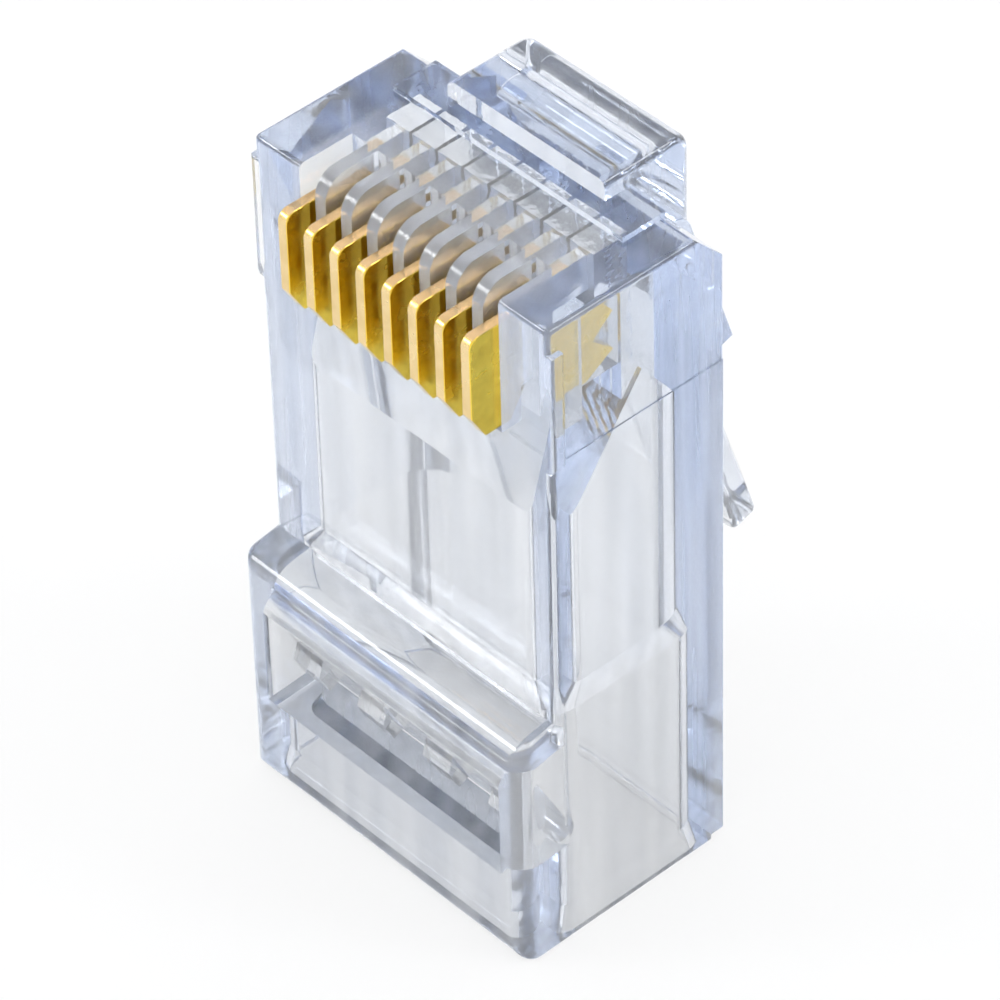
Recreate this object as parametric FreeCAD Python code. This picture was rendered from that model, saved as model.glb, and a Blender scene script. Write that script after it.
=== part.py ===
import FreeCAD, Part
import math
import os
from FreeCAD import Vector

# Eight-way modular plug of clear plastic, before it is crimped, in millimetres.
# It stands on its cable end: +Z runs from the cable entry to the nose, +X across the contacts, and -Y
# is the side where the contacts show. The origin is the middle of the cable entry, on the rear face.
# In what follows a depth is measured from the contact face towards the latch, and a height from the
# rear face towards the nose.

# Body and nose
PLUG_WIDTH = 11.80            # over the guide pads
PAD_PROUD = 0.15              # each guide pad beyond the body's side
NOSE_INSET = 0.04             # the nose's side inside the body's side
BODY_DEPTH = 6.35             # contact face to latch face
NOSE_HEIGHT = 22.45           # rear face to the top of the nose
NOSE_CHAMFER_DEPTH = 1.05     # lead-in on the latch side of the nose
NOSE_CHAMFER_HEIGHT = 1.10
BODY_EDGE_RADIUS = 0.28       # upright edges on the contact side
LATCH_EDGE_RADIUS = 0.10      # upright edges on the latch side
NOSE_EDGE_RADIUS = 0.18
PAD_TOP_GAP = 0.80            # nose to the pads' upper ends
PAD_LENGTH = 3.85
PAD_DEPTH = 0.40              # a pad runs back from the contact face by this
PAD_FOOT_TAPER = 0.25         # height of the slant at a pad's foot
PAD_EDGE_RADIUS = 0.10

# Rear block
REAR_STEP = 1.38              # how far the block stands out past the contact face
LEDGE_HEIGHT = 8.45           # where the ledge meets the contact face
LEDGE_FALL = 0.20             # the ledge slants down by this towards its outer edge
LEDGE_RADIUS = 0.25
REAR_CORNER_RADIUS = 0.60
REAR_RIM_RADIUS = 0.20
REBATE_HEIGHT = 0.32          # the latch wall stops short of the rear face by this
REBATE_DEPTH = 0.53           # and leaves a rim that lies this far inside its face

# Cable cavity
JACKET_WIDTH = 9.90
JACKET_FRONT = 0.45           # depth of the jacket space's front face
JACKET_HEIGHT = 8.30          # where the walls start to thicken for the conductors
JACKET_CORNER_RADIUS = 0.60
MOUTH_LEAD = 0.22             # the mouth widens by this all round
MOUTH_LEAD_HEIGHT = 0.90
CONDUCTOR_WIDTH = 8.80
CONDUCTOR_FRONT_RADIUS = 0.30 # corners of the conductor space on the contact side
CONDUCTOR_BACK_RADIUS = 1.25  # and on the latch side
CONDUCTOR_SLANT = 0.60        # height of the slants from the jacket space to the conductor space
FRONT_WALL = 1.22
BACK_WALL = 0.95
ROOF_FRONT_DROP = 7.45        # nose to where the roof starts on the contact side
ROOF_BACK_DROP = 5.85         # and on the latch side
ROOF_RIDGE_DEPTH = 3.85
ROOF_RIDGE_DROP = 3.85        # nose to the ridge between them

# Contacts, comb and conductor channels
CONTACT_COUNT = 8
CONTACT_PITCH = 1.02
BLADE_THICKNESS = 0.35
BLADE_CLEARANCE = 0.02        # each side of a blade in its slot, and at the end of its stroke
BLADE_PROUD = 0.95            # beyond the contact face, before crimping
CRIMP_STROKE = 1.25
FOOT_DROP = 4.45              # nose to the blades' lower edges
BLADE_LENGTH = 3.50           # along the plug
BLADE_TOP_RADIUS = 0.35
BLADE_EDGE_RADIUS = 0.05
FOOT_CHAMFER_DEPTH = 0.50
FOOT_CHAMFER_HEIGHT = 0.85
LEG_STEP = 1.00               # the leg's lower edge above the foot
PRONG_REACH = 3.10            # depth of the piercing points
PRONG_NOTCH_DEPTH = 2.35      # depth of the notch between them
PRONG_SPACING = 1.30
PRONG_TAPER_TOP = 0.50        # the taper to the upper point is this long, to the lower one as below
PRONG_TAPER_BOTTOM = 1.00
COMB_SLOT_WIDTH = 0.60
COMB_DEPTH = 1.90
COMB_FOOT_GAP = 0.10          # below the blades
FIN_RADIUS = 0.75             # front corner of the fins between the slots
CHANNEL_WIDTH = 0.90
CHANNEL_FRONT = 3.25          # depth of the channels' front faces
CHANNEL_DEPTH = 1.20
CHANNEL_TOP_WALL = 0.60       # plastic over the channels' closed ends

# Raised land and latch root on the nose
LAND_WIDTH = 8.90
LAND_FRONT = 3.90
LAND_RISE = 0.18
LAND_OVERHANG = 0.15          # how far the land runs out over the lead-in
ROOT_WIDTH = 6.10
ROOT_FRONT = 4.60
ROOT_RISE = 0.64              # above the land
ROOT_RADIUS = 0.60            # its upper edge on the latch side
ROOT_CORNER_RADIUS = 0.30

# Latch
LATCH_HINGE_DROP = 2.65       # nose to the line that the latch bends about
LATCH_HINGE_RADIUS = 0.68
LATCH_CLEARANCE = 0.03
LATCH_LEAN = 18.2             # degrees between the free latch and the body
WING_LENGTH = 5.05            # hinge to the locking shoulders
LEVER_LENGTH = 14.50          # hinge to the lever's end
LEVER_WIDTH = 3.25
LEVER_THICKNESS = 0.88
LEVER_END_RADIUS = 0.55       # the two corners of its free end
LEVER_RIM_RADIUS = 0.15       # round that end

# Strain relief bar and its pocket
POCKET_WIDTH = 9.70
POCKET_SILL = 3.15            # rear face to the pocket's lower edge
BAR_HINGE_DEPTH = 0.62
BAR_HINGE_HEIGHT = 3.62
BAR_THICKNESS = 0.66
BAR_LENGTH = 3.45             # hinge to the bar's free end
BAR_LEAN = 27.0               # degrees between the bar and the body
BAR_CLEARANCE = 0.05
BAR_SIDE_GAP = 0.20
RIB_COUNT = 4                 # short ribs across the foot of the bar's outer face
RIB_PITCH = 2.70
RIB_WIDTH = 1.10
RIB_START = 0.35              # hinge to the ribs' lower ends
RIB_LENGTH = 1.25
RIB_RISE = 0.40

BODY_WIDTH = PLUG_WIDTH - 2 * PAD_PROUD
NOSE_WIDTH = BODY_WIDTH - 2 * NOSE_INSET
CAVITY_BACK = BODY_DEPTH - BACK_WALL
ENTRY_DEPTH = (JACKET_FRONT + CAVITY_BACK) / 2
PAD_TOP = NOSE_HEIGHT - PAD_TOP_GAP
PAD_FOOT = PAD_TOP - PAD_LENGTH
ROOF_FRONT_HEIGHT = NOSE_HEIGHT - ROOF_FRONT_DROP
ROOF_BACK_HEIGHT = NOSE_HEIGHT - ROOF_BACK_DROP
ROOF_RIDGE_HEIGHT = NOSE_HEIGHT - ROOF_RIDGE_DROP
FOOT_HEIGHT = NOSE_HEIGHT - FOOT_DROP
BLADE_TOP = FOOT_HEIGHT + BLADE_LENGTH
LEG_FOOT = FOOT_HEIGHT + LEG_STEP
LATCH_HINGE_HEIGHT = NOSE_HEIGHT - LATCH_HINGE_DROP
LATCH_HINGE_DEPTH = BODY_DEPTH + LATCH_CLEARANCE + LATCH_HINGE_RADIUS
ROOT_BACK = LATCH_HINGE_DEPTH + LATCH_HINGE_RADIUS
LAND_TOP = NOSE_HEIGHT + LAND_RISE
OVER = 1.0                    # how far a cutting tool runs past what it cuts


def place(point):
    """Where a (depth, height) point lies in the plane X = 0."""
    return Vector(0, point[0] - ENTRY_DEPTH, point[1])


def section(points):
    """Flat closed wire through (depth, height) points; a pair of points is an arc's middle and its end."""
    edges = []
    here = place(points[0])
    for step in points[1:] + [points[0]]:
        if isinstance(step[0], tuple):
            middle, end = place(step[0]), place(step[1])
            edges.append(Part.Arc(here, middle, end).toShape())
        else:
            end = place(step)
            if not end.isEqual(here, 1e-6):
                edges.append(Part.LineSegment(here, end).toShape())
        here = end
    return Part.Wire(edges)


def across(points, width, middle=0.0):
    """Solid of a (depth, height) section, of a width along X and centred on X = middle."""
    face = Part.Face(section(points))
    face.translate(Vector(middle - width / 2, 0, 0))
    return face.extrude(Vector(width, 0, 0))


def block(width, depths, heights, middle=0.0):
    """Box between two depths and two heights, centred on X = middle."""
    corner = Vector(middle - width / 2, depths[0] - ENTRY_DEPTH, heights[0])
    return Part.makeBox(width, depths[1] - depths[0], heights[1] - heights[0], corner)


def rod(radius, centre, width):
    """Round bar along X round a (depth, height) point."""
    start = place(centre) - Vector(width / 2, 0, 0)
    return Part.makeCylinder(radius, width, start, Vector(1, 0, 0))


def level_ring(width, depths, radii, height):
    """Level rectangle between two depths, as a wire, with its near and its far corners rounded."""
    half, near, far = width / 2, depths[0] - ENTRY_DEPTH, depths[1] - ENTRY_DEPTH
    box = Part.makeBox(width, far - near, OVER, Vector(-half, near, height))
    for radius, side in zip(radii, (near, far)):
        upright = [edge for edge in box.Edges if edge.BoundBox.ZLength > OVER / 2]
        corners = [edge for edge in upright if abs(edge.Vertexes[0].Y - side) < radius / 2]
        box = box.makeFillet(radius, corners)
    floor = [face for face in box.Faces if face.BoundBox.ZMax < height + OVER / 2]
    return floor[0].OuterWire


def lies(edge, depth=None, height=None, side=None):
    """Whether an edge lies in the plane of a depth, of a height or of a distance from the middle."""
    points = [vertex.Point for vertex in edge.Vertexes]
    near = 1e-4
    return all(
        (depth is None or abs(point.y + ENTRY_DEPTH - depth) < near)
        and (height is None or abs(point.z - height) < near)
        and (side is None or abs(abs(point.x) - side) < near)
        for point in points
    )


def rounded(shape, radius, *places):
    """Shape with its edges that lie at any of the places rounded off."""
    edges = [edge for edge in shape.Edges if any(lies(edge, **spot) for spot in places)]
    return shape.makeFillet(radius, edges)


def row(count, pitch):
    """X of each member of an even row that is centred on X = 0, from the -X side."""
    return [pitch * (index - (count - 1) / 2) for index in range(count)]


def contact_middles():
    """X of each contact, from the -X side."""
    return row(CONTACT_COUNT, CONTACT_PITCH)


def along(origin, lean, forward, outward):
    """Point at a distance forward along a line that leans towards the latch, and outward from it."""
    angle = math.radians(lean)
    depth = origin[0] + forward * math.sin(angle) + outward * math.cos(angle)
    height = origin[1] - forward * math.cos(angle) + outward * math.sin(angle)
    return (depth, height)


def make_column():
    """Upright body behind the contact face, from the rebate up to the foot of the guide pads."""
    column = block(BODY_WIDTH, (0, BODY_DEPTH), (REBATE_HEIGHT, PAD_FOOT))
    column = rounded(column, BODY_EDGE_RADIUS, {"depth": 0, "side": BODY_WIDTH / 2})
    return rounded(column, LATCH_EDGE_RADIUS, {"depth": BODY_DEPTH, "side": BODY_WIDTH / 2})


def make_rear_block():
    """Wider foot of the body, with the ledge on the contact side and the rim round the cable entry."""
    back = BODY_DEPTH - REBATE_DEPTH
    outline = [
        (-REAR_STEP, 0),
        (-REAR_STEP, LEDGE_HEIGHT - LEDGE_FALL),
        (0, LEDGE_HEIGHT),
        (back, LEDGE_HEIGHT),
        (back, 0),
    ]
    foot = across(outline, BODY_WIDTH)
    side = BODY_WIDTH / 2
    foot = rounded(foot, REAR_CORNER_RADIUS, {"depth": -REAR_STEP, "side": side})
    front = [edge for edge in foot.Edges if edge.BoundBox.YMax < REAR_CORNER_RADIUS - REAR_STEP - ENTRY_DEPTH]
    ledge_edges = [edge for edge in front if edge.BoundBox.ZMin > LEDGE_HEIGHT / 2]
    foot = foot.makeFillet(LEDGE_RADIUS, ledge_edges)
    rim = [edge for edge in foot.Edges if lies(edge, height=0) and not lies(edge, depth=back)]
    return foot.makeFillet(REAR_RIM_RADIUS, rim)


def make_nose():
    """Nose with its lead-in, and the part of it that runs down inside the body."""
    back = BODY_DEPTH - NOSE_CHAMFER_DEPTH
    outline = [
        (0, PAD_FOOT - OVER),
        (0, NOSE_HEIGHT),
        (back, NOSE_HEIGHT),
        (BODY_DEPTH, NOSE_HEIGHT - NOSE_CHAMFER_HEIGHT),
        (BODY_DEPTH, PAD_FOOT - OVER),
    ]
    nose = across(outline, NOSE_WIDTH)
    side = NOSE_WIDTH / 2
    nose = rounded(nose, LATCH_EDGE_RADIUS, {"depth": BODY_DEPTH, "side": side})
    return rounded(nose, NOSE_EDGE_RADIUS, {"depth": 0, "side": side}, {"height": NOSE_HEIGHT, "side": side})


def make_pads():
    """Guide pads on both sides of the contact face, as one bar that runs through the nose."""
    outer = PLUG_WIDTH / 2
    right = [
        (outer, PAD_TOP),
        (outer, PAD_FOOT),
        (BODY_WIDTH / 2, PAD_FOOT - PAD_FOOT_TAPER),
    ]
    left = [(-side, height) for side, height in reversed(right)]
    front = place((0, 0)).y
    corners = [Vector(side, front, height) for side, height in right + left]
    face = Part.Face(Part.makePolygon(corners + corners[:1]))
    pads = face.extrude(Vector(0, PAD_DEPTH, 0))
    return rounded(pads, PAD_EDGE_RADIUS, {"depth": 0, "side": outer})


def make_land():
    """Raised land between the comb and the lead-in."""
    back = BODY_DEPTH - NOSE_CHAMFER_DEPTH + LAND_OVERHANG
    return block(LAND_WIDTH, (LAND_FRONT, back), (NOSE_HEIGHT - NOSE_CHAMFER_HEIGHT / 2, LAND_TOP))


def make_latch_root():
    """Block at the nose that carries the latch, with the latch's round seat in its lower end."""
    top = LAND_TOP + ROOT_RISE
    turn = ROOT_RADIUS * (1 - math.sqrt(0.5))
    outline = [
        (ROOT_FRONT, NOSE_HEIGHT - NOSE_CHAMFER_HEIGHT / 2),
        (ROOT_FRONT, top),
        (ROOT_BACK - ROOT_RADIUS, top),
        ((ROOT_BACK - turn, top - turn), (ROOT_BACK, top - ROOT_RADIUS)),
        (ROOT_BACK, LATCH_HINGE_HEIGHT),
        (CAVITY_BACK, LATCH_HINGE_HEIGHT),
    ]
    root = across(outline, ROOT_WIDTH)
    side = ROOT_WIDTH / 2
    root = rounded(root, ROOT_CORNER_RADIUS, {"depth": ROOT_BACK, "side": side})
    hinge = (LATCH_HINGE_DEPTH, LATCH_HINGE_HEIGHT)
    return root.cut(rod(LATCH_HINGE_RADIUS + LATCH_CLEARANCE, hinge, ROOT_WIDTH + OVER))


def cable_cavity():
    """Mouth, jacket space, slants and conductor space under their roof."""
    depths = (JACKET_FRONT, CAVITY_BACK)
    mouth_depths = (JACKET_FRONT - MOUTH_LEAD, CAVITY_BACK + MOUTH_LEAD)
    mouth_width = JACKET_WIDTH + 2 * MOUTH_LEAD
    conductor_depths = (FRONT_WALL, CAVITY_BACK)
    slant_top = JACKET_HEIGHT + CONDUCTOR_SLANT
    jacket_radii = (JACKET_CORNER_RADIUS, JACKET_CORNER_RADIUS)
    conductor_radii = (CONDUCTOR_FRONT_RADIUS, CONDUCTOR_BACK_RADIUS)
    mouth = Part.makeLoft([
        level_ring(mouth_width, mouth_depths, jacket_radii, 0),
        level_ring(JACKET_WIDTH, depths, jacket_radii, MOUTH_LEAD_HEIGHT),
    ], True, True)
    jacket_floor = Part.Face(level_ring(JACKET_WIDTH, depths, jacket_radii, 0))
    jacket = jacket_floor.extrude(Vector(0, 0, JACKET_HEIGHT))
    slant = Part.makeLoft([
        level_ring(JACKET_WIDTH, depths, jacket_radii, JACKET_HEIGHT),
        level_ring(CONDUCTOR_WIDTH, conductor_depths, conductor_radii, slant_top),
    ], True, True)
    ring = level_ring(CONDUCTOR_WIDTH, conductor_depths, conductor_radii, JACKET_HEIGHT)
    column = Part.Face(ring).extrude(Vector(0, 0, NOSE_HEIGHT - JACKET_HEIGHT))
    under_roof = across([
        (FRONT_WALL, 0),
        (FRONT_WALL, ROOF_FRONT_HEIGHT),
        (ROOF_RIDGE_DEPTH, ROOF_RIDGE_HEIGHT),
        (CAVITY_BACK, ROOF_BACK_HEIGHT),
        (CAVITY_BACK, 0),
    ], PLUG_WIDTH)
    return jacket.fuse([mouth, slant, column.common(under_roof)])


def conductor_channels():
    """One closed-ended channel behind each contact, from the roof towards the nose."""
    depths = (CHANNEL_FRONT, CHANNEL_FRONT + CHANNEL_DEPTH)
    heights = (ROOF_BACK_HEIGHT, NOSE_HEIGHT - CHANNEL_TOP_WALL)
    return [block(CHANNEL_WIDTH, depths, heights, middle) for middle in contact_middles()]


def comb_slots():
    """Slots at the contact face, open at the nose, each with the narrow slot that guides its blade."""
    slots = []
    for middle in contact_middles():
        heights = (FOOT_HEIGHT - COMB_FOOT_GAP, NOSE_HEIGHT + OVER)
        slots.append(block(COMB_SLOT_WIDTH, (-OVER, COMB_DEPTH), heights, middle))
        guide_heights = (LEG_FOOT - BLADE_CLEARANCE, BLADE_TOP + BLADE_CLEARANCE)
        guide_depths = (COMB_DEPTH - OVER, CHANNEL_FRONT + CHANNEL_DEPTH / 2)
        guide_width = BLADE_THICKNESS + 2 * BLADE_CLEARANCE
        slots.append(block(guide_width, guide_depths, guide_heights, middle))
    return slots


def fin_rounding():
    """What rounds off the front corners of all the fins."""
    span = CONTACT_PITCH * (CONTACT_COUNT - 1) + COMB_SLOT_WIDTH
    centre = (FIN_RADIUS, NOSE_HEIGHT - FIN_RADIUS)
    corner = block(span, (-OVER, FIN_RADIUS), (centre[1], NOSE_HEIGHT + OVER))
    return corner.cut(rod(FIN_RADIUS, centre, PLUG_WIDTH))


def relief_pocket():
    """Pocket that the strain relief bar closes and swings through, with the seat of its hinge."""
    hinge = (BAR_HINGE_DEPTH, BAR_HINGE_HEIGHT)
    reach = BAR_LENGTH + BAR_CLEARANCE
    seat_radius = BAR_THICKNESS / 2 + BAR_CLEARANCE
    mouth = -REAR_STEP - OVER
    arc_end = (mouth, BAR_HINGE_HEIGHT + math.sqrt(reach ** 2 - (BAR_HINGE_DEPTH - mouth) ** 2))
    sweep = across([
        (mouth, POCKET_SILL),
        (-REAR_STEP, POCKET_SILL),
        (BAR_HINGE_DEPTH, BAR_HINGE_HEIGHT - seat_radius),
        (BAR_HINGE_DEPTH, BAR_HINGE_HEIGHT + reach),
        (along(hinge, 180 + BAR_LEAN, reach, 0), arc_end),
    ], POCKET_WIDTH)
    return sweep.fuse(rod(seat_radius, hinge, POCKET_WIDTH))


def make_housing():
    """The moulding without its two moving parts."""
    blank = make_column().fuse([make_rear_block(), make_nose(), make_pads(), make_land(), make_latch_root()])
    cuts = [cable_cavity(), relief_pocket(), fin_rounding()] + conductor_channels() + comb_slots()
    return blank.cut(cuts).removeSplitter()


def rounded_end(lever):
    """Lever with the two corners of its free end rounded, and then the end's rims."""
    end = lever.BoundBox.ZMin + LEVER_THICKNESS
    edges = [edge for edge in lever.Edges if edge.BoundBox.ZMax < end]
    corners = [edge for edge in edges if edge.BoundBox.XLength < LEVER_RIM_RADIUS]
    lever = lever.makeFillet(LEVER_END_RADIUS, corners)
    edges = [edge for edge in lever.Edges if edge.BoundBox.ZMax < end]
    rims = [edge for edge in edges if edge.BoundBox.XLength > LEVER_WIDTH / 2]
    return lever.makeFillet(LEVER_RIM_RADIUS, rims)


def make_latch():
    """Latch: round root, wide part up to the locking shoulders, and narrow lever."""
    hinge = (LATCH_HINGE_DEPTH, LATCH_HINGE_HEIGHT)
    radius = LATCH_HINGE_RADIUS
    lever_top = LEVER_THICKNESS - radius
    wide = across([
        along(hinge, LATCH_LEAN, 0, -radius),
        along(hinge, LATCH_LEAN, WING_LENGTH, -radius),
        along(hinge, LATCH_LEAN, WING_LENGTH, radius),
        along(hinge, LATCH_LEAN, 0, radius),
        (along(hinge, LATCH_LEAN, -radius, 0), along(hinge, LATCH_LEAN, 0, -radius)),
    ], ROOT_WIDTH)
    lever = across([
        along(hinge, LATCH_LEAN, WING_LENGTH - radius, -radius),
        along(hinge, LATCH_LEAN, LEVER_LENGTH, -radius),
        along(hinge, LATCH_LEAN, LEVER_LENGTH, lever_top),
        along(hinge, LATCH_LEAN, WING_LENGTH - radius, lever_top),
    ], LEVER_WIDTH)
    return wide.fuse(rounded_end(lever)).removeSplitter()


def make_relief_bar():
    """Strain relief bar, leaning out from its hinge to the contact side, with ribs on its outer face."""
    hinge = (BAR_HINGE_DEPTH, BAR_HINGE_HEIGHT)
    lean = 180 + BAR_LEAN
    half = BAR_THICKNESS / 2
    face_length = math.sqrt(BAR_LENGTH ** 2 - half ** 2)
    bar = across([
        along(hinge, lean, 0, half),
        along(hinge, lean, face_length, half),
        (along(hinge, lean, BAR_LENGTH, 0), along(hinge, lean, face_length, -half)),
        along(hinge, lean, 0, -half),
        (along(hinge, lean, -half, 0), along(hinge, lean, 0, half)),
    ], POCKET_WIDTH - 2 * BAR_SIDE_GAP)
    rib_end = RIB_START + RIB_LENGTH
    rib = [
        along(hinge, lean, RIB_START, 0),
        along(hinge, lean, RIB_START, half + RIB_RISE),
        along(hinge, lean, rib_end - RIB_RISE, half + RIB_RISE),
        along(hinge, lean, rib_end, half),
        along(hinge, lean, rib_end, 0),
    ]
    return bar.fuse([across(rib, RIB_WIDTH, middle) for middle in row(RIB_COUNT, RIB_PITCH)]).removeSplitter()


def make_contact(middle):
    """Blade with its foot, its leg and two piercing points, flat in the plane X = middle."""
    front = -BLADE_PROUD
    turn = BLADE_TOP_RADIUS * (1 - math.sqrt(0.5))
    shoulder = COMB_DEPTH - CRIMP_STROKE - BLADE_CLEARANCE
    leg_middle = (BLADE_TOP + LEG_FOOT) / 2
    upper_point = (PRONG_REACH, leg_middle + PRONG_SPACING / 2)
    lower_point = (PRONG_REACH, leg_middle - PRONG_SPACING / 2)
    blade = across([
        (front, FOOT_HEIGHT + FOOT_CHAMFER_HEIGHT),
        (front, BLADE_TOP - BLADE_TOP_RADIUS),
        ((front + turn, BLADE_TOP - turn), (front + BLADE_TOP_RADIUS, BLADE_TOP)),
        (PRONG_REACH - PRONG_TAPER_TOP, BLADE_TOP),
        upper_point,
        (PRONG_NOTCH_DEPTH, leg_middle),
        lower_point,
        (PRONG_REACH - PRONG_TAPER_BOTTOM, LEG_FOOT),
        (shoulder, LEG_FOOT),
        (shoulder, FOOT_HEIGHT),
        (front + FOOT_CHAMFER_DEPTH, FOOT_HEIGHT),
    ], BLADE_THICKNESS, middle)
    return rounded(blade, BLADE_EDGE_RADIUS, {"depth": front})


def main():
    """Write every piece to its own file."""
    os.makedirs("parts", exist_ok=True)
    pieces = {
        "housing": make_housing(),
        "latch": make_latch(),
        "strain_relief_bar": make_relief_bar(),
    }
    for index, middle in enumerate(contact_middles()):
        pieces[f"contact_{index + 1}"] = make_contact(middle)
    for name, shape in pieces.items():
        solids = shape.Solids
        print(name, shape.isValid(), len(solids), round(shape.Volume, 3))
        shape.exportStep(os.path.join("parts", name + ".step"))


main()
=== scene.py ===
import math

import bpy
from mathutils import Matrix, Vector


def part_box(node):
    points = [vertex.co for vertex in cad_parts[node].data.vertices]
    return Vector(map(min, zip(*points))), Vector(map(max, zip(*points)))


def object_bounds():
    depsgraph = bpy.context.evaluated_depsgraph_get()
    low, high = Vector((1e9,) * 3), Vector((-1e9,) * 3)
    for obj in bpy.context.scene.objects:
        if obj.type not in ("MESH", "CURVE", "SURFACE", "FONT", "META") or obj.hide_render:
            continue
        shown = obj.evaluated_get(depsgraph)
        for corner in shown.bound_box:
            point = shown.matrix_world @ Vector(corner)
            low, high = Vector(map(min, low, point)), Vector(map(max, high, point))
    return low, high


# Finish, stage and camera of a clear eight-way modular plug. Lengths are in metres, in the frame of
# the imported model: +Z from the cable entry to the nose, -Y the side where the contacts show.

bl_info = {
    "name": "Clear modular plug",
    "version": (1, 0, 0),
    "blender": (4, 5, 0),
    "location": "3D View > Sidebar > Plug",
    "description": "Finishes the clear plastic, the gold blades and the studio of a modular plug",
    "category": "Object",
}

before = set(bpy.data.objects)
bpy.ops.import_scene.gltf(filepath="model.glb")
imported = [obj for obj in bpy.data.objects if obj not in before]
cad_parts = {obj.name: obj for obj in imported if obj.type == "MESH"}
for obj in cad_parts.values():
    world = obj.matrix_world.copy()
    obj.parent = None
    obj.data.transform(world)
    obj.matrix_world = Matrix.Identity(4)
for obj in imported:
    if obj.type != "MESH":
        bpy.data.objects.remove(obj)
CAD_LOW, CAD_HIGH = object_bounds()
MM = 0.001
BLADES = sorted(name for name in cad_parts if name.startswith("contact_"))

# Scales of the noises along X, Y and Z, per metre: a small one draws the marks out along the plug
FLOW_SCALES = (1500, 1500, 110)
POLISHING_SCALES = (5000, 5000, 260)
CORE_MARK_SCALES = (2600, 2600, 2600)
GRAIN_SCALES = (14000, 14000, 900)
PLATING_SCALES = (1500, 1500, 1500)

# Nearly all of a noise's values lie from the low one to the high one, round the middle
NOISE_LOW, NOISE_MIDDLE, NOISE_HIGH = 0.3, 0.5, 0.7

# Haze where the plastic is clearest, as a share of the most
CLEAREST = 1 / 3

# Heights between which the body's haze goes over to the nose's, from the blades' lower ends
NOSE_HAZE_START, NOSE_HAZE_END = -2.5 * MM, 1.5 * MM

# Where the marks of the mould's cores fade out: beside the blades, behind them and below them
BESIDE_START, BESIDE_END = 0.55 * MM, 0.25 * MM
FROST_START, FROST_END = 1.4 * MM, -1.4 * MM
CORED_START, CORED_END = 1.8 * MM, 1.3 * MM
BELOW_START = -0.9 * MM

# How squarely a blade's face looks along an axis where it starts to be an edge, and where it is one
EDGE_START, EDGE_END = 0.6, 0.95

# Plating: its colour's share where it is thin, the noise from there to where it is thick, and the
# least and the most of its roughness
THIN_PLATING = (0.90, 0.87, 0.80)
THIN_AT, THICK_AT = 0.35, 0.65
SMOOTHEST, ROUGHEST = 0.6, 1.4

# Floor: half its side, its gap under the plug, and its colour
FLOOR_HALF = 0.6
FLOOR_GAP = 0.01 * MM
FLOOR_COLOUR = (0.96, 0.96, 0.965)

# Surroundings: heights of their white and of the zenith's colour, on a unit ball
HORIZON_TOP, ZENITH_START = 0.25, 0.85

# The softboxes' turns and rises, and how wide they are
SOFTBOXES = ((math.radians(124), math.radians(36)), (math.radians(-40), math.radians(30)))
SOFTBOX_CORE = math.radians(5)
SOFTBOX_RIM = math.radians(9)

# Camera: the point that it looks at, its shift from there to the right and up, sensor and reach
AIM = (0, 0.375 * MM, 10.60 * MM)
AIM_RIGHT, AIM_UP = 0.011 * MM, 0.248 * MM
SENSOR_WIDTH = 36.0
CLIP_NEAR, CLIP_FAR = 0.01, 10.0

# Bounces that light needs on its way through the comb, and between the blades
CLEAR_BOUNCES = 28
GLOSSY_BOUNCES = 8


# Properties

class PlugPlasticSettings(bpy.types.PropertyGroup):
    body: bpy.props.FloatVectorProperty(
        name="Body", description="Colour of the faint haze at the plastic's surface",
        subtype="COLOR", size=3, min=0.0, max=1.0, default=(0.985, 0.985, 0.98))
    tint: bpy.props.FloatVectorProperty(
        name="Tint", description="Colour that deep plastic turns towards",
        subtype="COLOR", size=3, min=0.0, max=1.0, default=(0.10, 0.42, 0.98))
    density: bpy.props.FloatProperty(
        name="Density", description="How fast the tint builds up, per metre of plastic",
        min=0.0, max=2000.0, default=46.0)
    index: bpy.props.FloatProperty(
        name="Refractive index", description="Refractive index of the plastic",
        min=1.0, max=2.5, default=1.58)
    haze: bpy.props.FloatProperty(
        name="Haze",
        description="Most of the light that the body's surface scatters instead of passing it on",
        min=0.0, max=1.0, default=0.20, subtype="FACTOR")
    nose_haze: bpy.props.FloatProperty(
        name="Nose haze", description="The nose's share of that haze",
        min=0.0, max=1.0, default=0.45, subtype="FACTOR")
    bar_haze: bpy.props.FloatProperty(
        name="Bar haze",
        description="The same for the thin strain relief bar, whose faces are matt",
        min=0.0, max=1.0, default=0.30, subtype="FACTOR")
    polish: bpy.props.FloatProperty(
        name="Roughness",
        description="Roughness of the moulded surface where it is least polished",
        min=0.0, max=1.0, default=0.07, subtype="FACTOR")
    frost: bpy.props.FloatProperty(
        name="Comb frost",
        description="How far the unpolished comb round the blades scatters the light",
        min=0.0, max=1.0, default=0.15, subtype="FACTOR")
    ripple: bpy.props.FloatProperty(
        name="Flow marks", description="Depth of the moulding's flow marks",
        subtype="DISTANCE", unit="LENGTH", min=0.0, default=0.0028 * MM)
    unevenness: bpy.props.FloatProperty(
        name="Core marks",
        description="Depth of the unpolished cores' marks on the comb and the channels",
        subtype="DISTANCE", unit="LENGTH", min=0.0, default=0.02 * MM)


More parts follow.
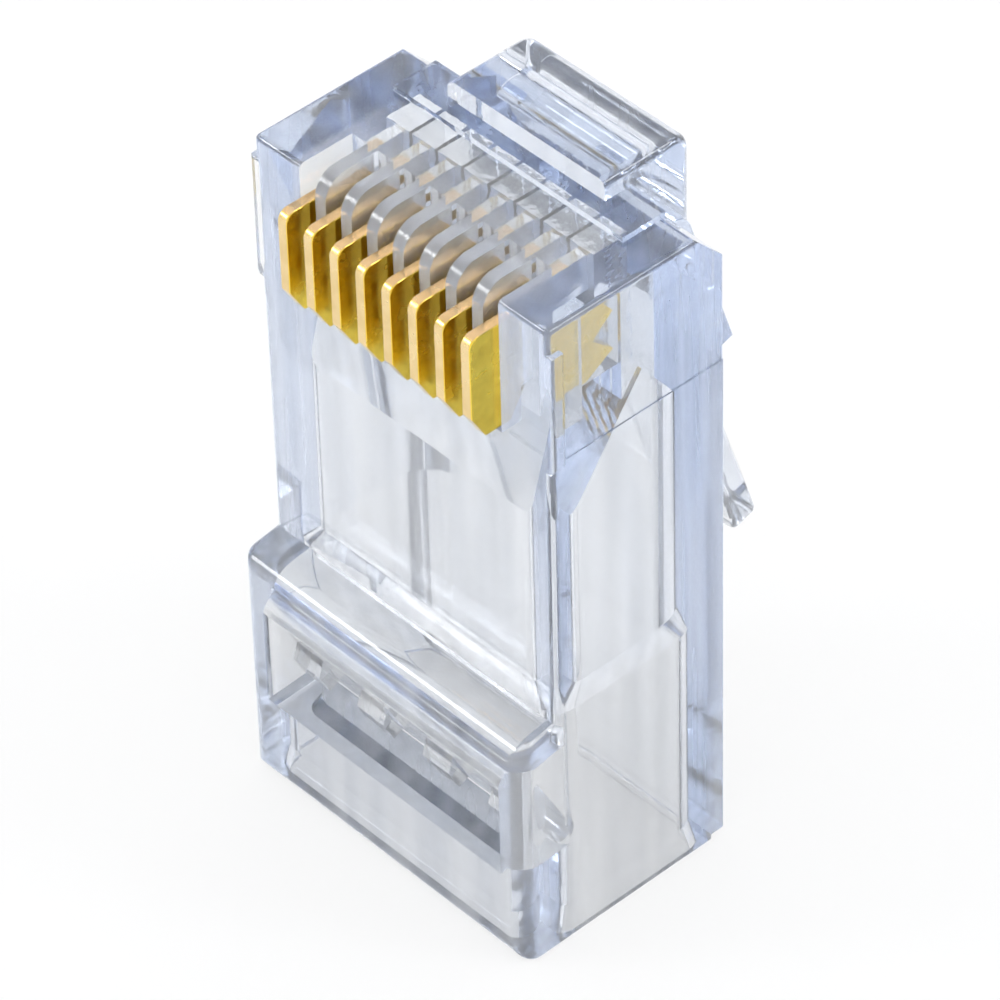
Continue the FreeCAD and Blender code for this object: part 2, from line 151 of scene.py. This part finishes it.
class PlugGoldSettings(bpy.types.PropertyGroup):
    gold: bpy.props.FloatVectorProperty(
        name="Gold", description="Colour of the plating",
        subtype="COLOR", size=3, min=0.0, max=1.0, default=(0.97, 0.71, 0.09))
    # Painted sheen: this paler colour goes on the blades' front faces, which look along Y, and
    # stands in for the brighter light that they reflect
    face: bpy.props.FloatVectorProperty(
        name="Front edge", description="Colour of the front edges, rubbed bright by the die",
        subtype="COLOR", size=3, min=0.0, max=1.0, default=(0.90, 0.69, 0.36))
    edge: bpy.props.FloatVectorProperty(
        name="Sheared edge",
        description="Colour of the stamped upper and lower edges, where the plating is thin",
        subtype="COLOR", size=3, min=0.0, max=1.0, default=(0.90, 0.62, 0.33))
    roughness: bpy.props.FloatProperty(
        name="Roughness", description="Roughness of the plating",
        min=0.0, max=1.0, default=0.22, subtype="FACTOR")
    grain: bpy.props.FloatProperty(
        name="Grain", description="Depth of the rolled strip's grain",
        subtype="DISTANCE", unit="LENGTH", min=0.0, default=0.0015 * MM)


class PlugStageSettings(bpy.types.PropertyGroup):
    whiteness: bpy.props.FloatProperty(
        name="Whiteness",
        description="How far the floor shows plain white instead of the light on it",
        min=0.0, max=1.0, default=0.75, subtype="FACTOR")
    whiteness_through: bpy.props.FloatProperty(
        name="Whiteness through the plug",
        description="The same for the floor in reflections and through plastic",
        min=0.0, max=1.0, default=0.34, subtype="FACTOR")
    softbox: bpy.props.FloatProperty(
        name="Softboxes", description="How far the two softboxes outshine the surroundings",
        min=0.0, max=50.0, default=10.0)
    zenith: bpy.props.FloatVectorProperty(
        name="Zenith", description="Colour of the surroundings overhead",
        subtype="COLOR", size=3, min=0.0, max=1.0, default=(0.95, 0.955, 0.965))
    azimuth: bpy.props.FloatProperty(
        name="Azimuth", description="Camera's turn round the plug, 0 looking along +Y",
        subtype="ANGLE", default=math.radians(48.237))
    elevation: bpy.props.FloatProperty(
        name="Elevation", description="Camera's height above the horizon",
        subtype="ANGLE", default=math.radians(42.042))
    roll: bpy.props.FloatProperty(
        name="Roll", description="Camera's turn about its own line of sight",
        subtype="ANGLE", default=math.radians(-1.684))
    distance: bpy.props.FloatProperty(
        name="Distance", description="Camera to the point that it looks at",
        subtype="DISTANCE", unit="LENGTH", default=184.6 * MM)
    lens: bpy.props.FloatProperty(
        name="Lens", description="Focal length for a sensor 36 mm wide, in millimetres",
        min=1.0, max=500.0, default=241.2)


def settings():
    """The scene's own property groups."""
    return bpy.context.scene.plug_plastic, bpy.context.scene.plug_gold, bpy.context.scene.plug_stage


# Materials

def new_material(name):
    """Empty node material with an output, as (material, nodes, links, output)."""
    material = bpy.data.materials.new(name)
    material.use_nodes = True
    nodes, links = material.node_tree.nodes, material.node_tree.links
    nodes.clear()
    return material, nodes, links, nodes.new("ShaderNodeOutputMaterial")


def stretched_noise(nodes, links, name, scales, detail):
    """Noise on Object coordinates, with its own scale along each axis, per metre."""
    place = nodes.new("ShaderNodeTexCoord")
    mapping = nodes.new("ShaderNodeMapping")
    mapping.name = name
    mapping.inputs["Scale"].default_value = scales
    noise = nodes.new("ShaderNodeTexNoise")
    noise.inputs["Scale"].default_value = 1.0
    noise.inputs["Detail"].default_value = detail
    links.new(place.outputs["Object"], mapping.inputs["Vector"])
    links.new(mapping.outputs["Vector"], noise.inputs["Vector"])
    return noise.outputs["Fac"]


def spread(nodes, links, value, low, high):
    """A noise's usual reach drawn out to the range from low to high."""
    ranged = nodes.new("ShaderNodeMapRange")
    ranged.inputs["From Min"].default_value = NOISE_LOW
    ranged.inputs["From Max"].default_value = NOISE_HIGH
    ranged.inputs["To Min"].default_value = low
    ranged.inputs["To Max"].default_value = high
    links.new(value, ranged.inputs["Value"])
    return ranged.outputs["Result"]


def joined(nodes, links, operation, *values):
    """Math of two or three values, each of them a socket or a number."""
    maths = nodes.new("ShaderNodeMath")
    maths.operation = operation
    for socket, value in zip(maths.inputs, values):
        if isinstance(value, bpy.types.NodeSocket):
            links.new(value, socket)
        else:
            socket.default_value = value
    return maths.outputs["Value"]


def mixed(nodes, links, blend, factor, first, second):
    """Mix of two colours, each of them, like the factor, a socket or a plain value."""
    mix = nodes.new("ShaderNodeMix")
    mix.data_type = "RGBA"
    mix.blend_type = blend
    sockets = [socket for socket in mix.inputs if socket.enabled]
    for socket, value in zip(sockets, (factor, first, second)):
        if isinstance(value, bpy.types.NodeSocket):
            links.new(value, socket)
        else:
            socket.default_value = value
    return next(socket for socket in mix.outputs if socket.enabled)


def ramped(nodes, links, value, start, end):
    """0 where the value is at the start, 1 at the end, and a smooth step between them."""
    step = nodes.new("ShaderNodeMapRange")
    step.interpolation_type = "SMOOTHSTEP"
    step.inputs["From Min"].default_value = start
    step.inputs["From Max"].default_value = end
    links.new(value, step.inputs["Value"])
    return step.outputs["Result"]


def body_share(nodes, links, at_nose):
    """1 on the walls round the cable, and the nose's share from about the blades' lower ends up."""
    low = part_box(BLADES[0])[0]
    place = nodes.new("ShaderNodeTexCoord")
    parts = nodes.new("ShaderNodeSeparateXYZ")
    links.new(place.outputs["Object"], parts.inputs["Vector"])
    share = ramped(nodes, links, parts.outputs["Z"], low.z + NOSE_HAZE_START, low.z + NOSE_HAZE_END)
    return joined(nodes, links, "MULTIPLY_ADD", share, at_nose - 1.0, 1.0)


def blades_region(nodes, links, start, end):
    """1 round the blades and 0 on the rest of the moulding.

    It is the product of three smooth steps: across, beside the outermost blades; in depth, from the
    start to the end behind the blades' points; and upwards, to their lower ends.
    """
    low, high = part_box(BLADES[0])
    reach = max(abs(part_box(name)[1].x) for name in BLADES)
    place = nodes.new("ShaderNodeTexCoord")
    parts = nodes.new("ShaderNodeSeparateXYZ")
    links.new(place.outputs["Object"], parts.inputs["Vector"])
    across = joined(nodes, links, "ABSOLUTE", parts.outputs["X"], 0.0)
    inside = ramped(nodes, links, across, reach + BESIDE_START, reach + BESIDE_END)
    forward = ramped(nodes, links, parts.outputs["Y"], high.y + start, high.y + end)
    upper = ramped(nodes, links, parts.outputs["Z"], low.z + BELOW_START, low.z)
    front = joined(nodes, links, "MULTIPLY", inside, forward)
    return joined(nodes, links, "MULTIPLY", front, upper)


def bumped(nodes, links, height, depth, before=None):
    """Normal of a surface that stands out by a depth where the height is 1, over one before it."""
    bump = nodes.new("ShaderNodeBump")
    bump.inputs["Strength"].default_value = 1.0
    bump.inputs["Distance"].default_value = depth
    links.new(height, bump.inputs["Height"])
    if before is not None:
        links.new(before, bump.inputs["Normal"])
    return bump.outputs["Normal"]


def clear_plastic(name, plastic, haze):
    """Clear plastic: refraction with marks and haze, and absorption that tints long ways through.

    The haze is the part of the light that isn't let through: a share that goes with the flow marks,
    and the frost round the blades. The frost also sets the least roughness there.
    """
    material, nodes, links, output = new_material(name)
    flow = stretched_noise(nodes, links, "flow along the moulding", FLOW_SCALES, detail=0.0)
    streak = stretched_noise(nodes, links, "polishing lines", POLISHING_SCALES, detail=0.0)
    comb = blades_region(nodes, links, FROST_START, FROST_END)
    body = nodes.new("ShaderNodeBsdfPrincipled")
    body.inputs["Base Color"].default_value = (*plastic.body, 1)
    body.inputs["IOR"].default_value = plastic.index
    hazy = spread(nodes, links, flow, haze, haze * CLEAREST)
    hazy = joined(nodes, links, "MULTIPLY", hazy, body_share(nodes, links, plastic.nose_haze))
    frosted = joined(nodes, links, "MULTIPLY", comb, plastic.frost)
    scattered = joined(nodes, links, "ADD", hazy, frosted)
    links.new(joined(nodes, links, "SUBTRACT", 1.0, scattered), body.inputs["Transmission Weight"])
    polished = spread(nodes, links, streak, 0.0, plastic.polish)
    links.new(joined(nodes, links, "MAXIMUM", polished, frosted), body.inputs["Roughness"])
    marks = stretched_noise(nodes, links, "marks of the cores", CORE_MARK_SCALES, detail=2.0)
    cored = blades_region(nodes, links, CORED_START, CORED_END)
    swing = joined(nodes, links, "SUBTRACT", marks, NOISE_MIDDLE)
    uneven = joined(nodes, links, "MULTIPLY", swing, cored)
    flowing = bumped(nodes, links, flow, plastic.ripple)
    links.new(bumped(nodes, links, uneven, plastic.unevenness, flowing), body.inputs["Normal"])
    depth = nodes.new("ShaderNodeVolumeAbsorption")
    depth.inputs["Color"].default_value = (*plastic.tint, 1)
    depth.inputs["Density"].default_value = plastic.density
    links.new(body.outputs["BSDF"], output.inputs["Surface"])
    links.new(depth.outputs["Volume"], output.inputs["Volume"])
    return material


def gold_plating(gold):
    """Bright gold over a stamped strip: grain along the blade, uneven plating, warmer edges, and a
    painted sheen that makes the front faces paler.
    """
    material, nodes, links, output = new_material("gold_plating")
    grain = stretched_noise(nodes, links, "rolled grain", GRAIN_SCALES, detail=3.0)
    patch = stretched_noise(nodes, links, "uneven plating", PLATING_SCALES, detail=2.0)
    facing = nodes.new("ShaderNodeSeparateXYZ")
    surface = nodes.new("ShaderNodeNewGeometry")
    links.new(surface.outputs["True Normal"], facing.inputs["Vector"])
    tone = (*gold.gold, 1)
    # Faces that look along Y get the front colour, a painted sheen in place of their brighter
    # reflection; faces that look along Z get the warmer sheared-edge colour
    for way, colour in (("Y", gold.face), ("Z", gold.edge)):
        upright = joined(nodes, links, "ABSOLUTE", facing.outputs[way], 0.0)
        square = ramped(nodes, links, upright, EDGE_START, EDGE_END)
        tone = mixed(nodes, links, "MIX", square, tone, (*colour, 1))
    ramp = nodes.new("ShaderNodeValToRGB")
    ramp.color_ramp.elements[0].position = THIN_AT
    ramp.color_ramp.elements[0].color = (*THIN_PLATING, 1)
    ramp.color_ramp.elements[1].position = THICK_AT
    ramp.color_ramp.elements[1].color = (1, 1, 1, 1)
    links.new(patch, ramp.inputs["Fac"])
    shade = mixed(nodes, links, "MULTIPLY", 1.0, tone, ramp.outputs["Color"])
    body = nodes.new("ShaderNodeBsdfPrincipled")
    body.inputs["Metallic"].default_value = 1.0
    links.new(shade, body.inputs["Base Color"])
    polished = spread(nodes, links, patch, gold.roughness * SMOOTHEST, gold.roughness * ROUGHEST)
    links.new(polished, body.inputs["Roughness"])
    links.new(bumped(nodes, links, grain, gold.grain), body.inputs["Normal"])
    links.new(body.outputs["BSDF"], output.inputs["Surface"])
    return material


def dress(names, material):
    """Give CAD nodes a material."""
    for name in names:
        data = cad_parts[name].data
        data.materials.clear()
        data.materials.append(material)


class PLUG_OT_plastic(bpy.types.Operator):
    """Give the moulded pieces their clear plastic"""

    bl_idname = "plug.plastic"
    bl_label = "Clear plastic"

    def execute(self, context):
        plastic = context.scene.plug_plastic
        dress(("housing", "latch"), clear_plastic("clear_plastic", plastic, plastic.haze))
        matt = clear_plastic("clear_plastic_matt", plastic, plastic.bar_haze)
        dress(("strain_relief_bar",), matt)
        return {"FINISHED"}


class PLUG_OT_blades(bpy.types.Operator):
    """Give the contact blades their gold plating"""

    bl_idname = "plug.blades"
    bl_label = "Gold blades"

    def execute(self, context):
        dress(BLADES, gold_plating(context.scene.plug_gold))
        return {"FINISHED"}


# Stage

def shown_white(nodes, links, stage):
    """Share of plain white for a ray from the camera, and for one that gold or plastic sends on."""
    path = nodes.new("ShaderNodeLightPath")
    straight = joined(nodes, links, "MULTIPLY", path.outputs["Is Camera Ray"], stage.whiteness)
    glossy, through = path.outputs["Is Glossy Ray"], path.outputs["Is Transmission Ray"]
    sent_on = joined(nodes, links, "MAXIMUM", glossy, through)
    later = joined(nodes, links, "MULTIPLY", sent_on, stage.whiteness_through)
    return joined(nodes, links, "MAXIMUM", straight, later)


def floor_plane(stage):
    """Level plate under the plug, white to the eye, that keeps the plug's shadow."""
    low, high = -FLOOR_HALF, FLOOR_HALF
    corners = [(low, low, 0), (high, low, 0), (high, high, 0), (low, high, 0)]
    mesh = bpy.data.meshes.new("floor")
    mesh.from_pydata(corners, [], [(0, 1, 2, 3)])
    floor = bpy.data.objects.new("floor", mesh)
    floor.location.z = CAD_LOW.z - FLOOR_GAP
    bpy.context.scene.collection.objects.link(floor)
    material, nodes, links, output = new_material("floor_white")
    matt = nodes.new("ShaderNodeBsdfDiffuse")
    matt.inputs["Color"].default_value = (*FLOOR_COLOUR, 1)
    glow = nodes.new("ShaderNodeEmission")
    glow.inputs["Color"].default_value = (1, 1, 1, 1)
    glow.inputs["Strength"].default_value = 1.0
    mix = nodes.new("ShaderNodeMixShader")
    links.new(shown_white(nodes, links, stage), mix.inputs["Fac"])
    links.new(matt.outputs["BSDF"], mix.inputs[1])
    links.new(glow.outputs["Emission"], mix.inputs[2])
    links.new(mix.outputs["Shader"], output.inputs["Surface"])
    mesh.materials.append(material)


def towards(turn, rise):
    """Unit vector from the plug to a place at a turn, 0 on the contact side, and at a rise."""
    level = math.cos(rise)
    return Vector((math.sin(turn) * level, -math.cos(turn) * level, math.sin(rise)))


def softbox(nodes, links, way, turn, rise):
    """1 in the middle of a round softbox at a turn and a rise, fading to 0 at its rim."""
    along = nodes.new("ShaderNodeVectorMath")
    along.operation = "DOT_PRODUCT"
    links.new(way, along.inputs[0])
    along.inputs[1].default_value = towards(turn, rise)
    rim, core = math.cos(SOFTBOX_RIM), math.cos(SOFTBOX_CORE)
    return ramped(nodes, links, along.outputs["Value"], rim, core)


def pale_world(stage):
    """Soft surroundings: white round the horizon, paler overhead, and two softboxes."""
    world = bpy.data.worlds.new("studio")
    world.use_nodes = True
    nodes, links = world.node_tree.nodes, world.node_tree.links
    back = nodes["Background"]
    way = nodes.new("ShaderNodeTexCoord")
    parts = nodes.new("ShaderNodeSeparateXYZ")
    links.new(way.outputs["Generated"], parts.inputs["Vector"])
    ramp = nodes.new("ShaderNodeValToRGB")
    ramp.color_ramp.interpolation = "EASE"
    ramp.color_ramp.elements[0].position = HORIZON_TOP
    ramp.color_ramp.elements[0].color = (1, 1, 1, 1)
    ramp.color_ramp.elements[1].position = ZENITH_START
    ramp.color_ramp.elements[1].color = (*stage.zenith, 1)
    links.new(parts.outputs["Z"], ramp.inputs["Fac"])
    links.new(ramp.outputs["Color"], back.inputs["Color"])
    key, fill = (softbox(nodes, links, way.outputs["Generated"], *place) for place in SOFTBOXES)
    both = joined(nodes, links, "ADD", key, fill)
    strength = joined(nodes, links, "MULTIPLY_ADD", both, stage.softbox, 1.0)
    links.new(strength, back.inputs["Strength"])
    # Surroundings this even are found well enough without a sampling map
    world.cycles.sampling_method = "NONE"
    bpy.context.scene.world = world


def place_camera(stage):
    """Long lens that looks down at the nose and the contact side."""
    turn, rise, roll = stage.azimuth, stage.elevation, stage.roll
    back = towards(turn, rise)
    right = Vector((math.cos(turn), math.sin(turn), 0))
    up = back.cross(right)
    rolled_right = math.cos(roll) * right + math.sin(roll) * up
    rolled_up = math.cos(roll) * up - math.sin(roll) * right
    aim = Vector(AIM) + rolled_up * AIM_UP + rolled_right * AIM_RIGHT
    data = bpy.data.cameras.new("camera")
    data.lens = stage.lens
    data.sensor_width = SENSOR_WIDTH
    data.clip_start = CLIP_NEAR
    data.clip_end = CLIP_FAR
    camera = bpy.data.objects.new("camera", data)
    turn_matrix = Matrix((rolled_right, rolled_up, back)).transposed().to_4x4()
    camera.matrix_world = Matrix.Translation(aim + back * stage.distance) @ turn_matrix
    bpy.context.scene.collection.objects.link(camera)
    bpy.context.scene.camera = camera


class PLUG_OT_stage(bpy.types.Operator):
    """Make the floor, the light and the camera"""

    bl_idname = "plug.stage"
    bl_label = "Stage"

    def execute(self, context):
        floor_plane(context.scene.plug_stage)
        pale_world(context.scene.plug_stage)
        place_camera(context.scene.plug_stage)
        scene = context.scene
        scene.view_settings.view_transform = "Standard"
        scene.cycles.max_bounces = CLEAR_BOUNCES
        scene.cycles.transmission_bounces = CLEAR_BOUNCES
        scene.cycles.glossy_bounces = GLOSSY_BOUNCES
        return {"FINISHED"}


class PLUG_PT_panel(bpy.types.Panel):
    """Steps and settings of the clear plug"""

    bl_label = "Clear plug"
    bl_space_type = "VIEW_3D"
    bl_region_type = "UI"
    bl_category = "Plug"

    def draw(self, context):
        for group in settings():
            box = self.layout.box()
            for name in group.__annotations__:
                box.prop(group, name)
        for operator in OPERATORS:
            self.layout.operator(operator.bl_idname)


GROUPS = (PlugPlasticSettings, PlugGoldSettings, PlugStageSettings)
OPERATORS = (PLUG_OT_plastic, PLUG_OT_blades, PLUG_OT_stage)


def register():
    for made in GROUPS + OPERATORS + (PLUG_PT_panel,):
        bpy.utils.register_class(made)
    bpy.types.Scene.plug_plastic = bpy.props.PointerProperty(type=PlugPlasticSettings)
    bpy.types.Scene.plug_gold = bpy.props.PointerProperty(type=PlugGoldSettings)
    bpy.types.Scene.plug_stage = bpy.props.PointerProperty(type=PlugStageSettings)


def unregister():
    del bpy.types.Scene.plug_plastic
    del bpy.types.Scene.plug_gold
    del bpy.types.Scene.plug_stage
    for made in reversed(GROUPS + OPERATORS + (PLUG_PT_panel,)):
        bpy.utils.unregister_class(made)


def main():
    """Make every piece."""
    register()
    bpy.ops.plug.plastic()
    bpy.ops.plug.blades()
    bpy.ops.plug.stage()


if __name__ == "__main__":
    main()
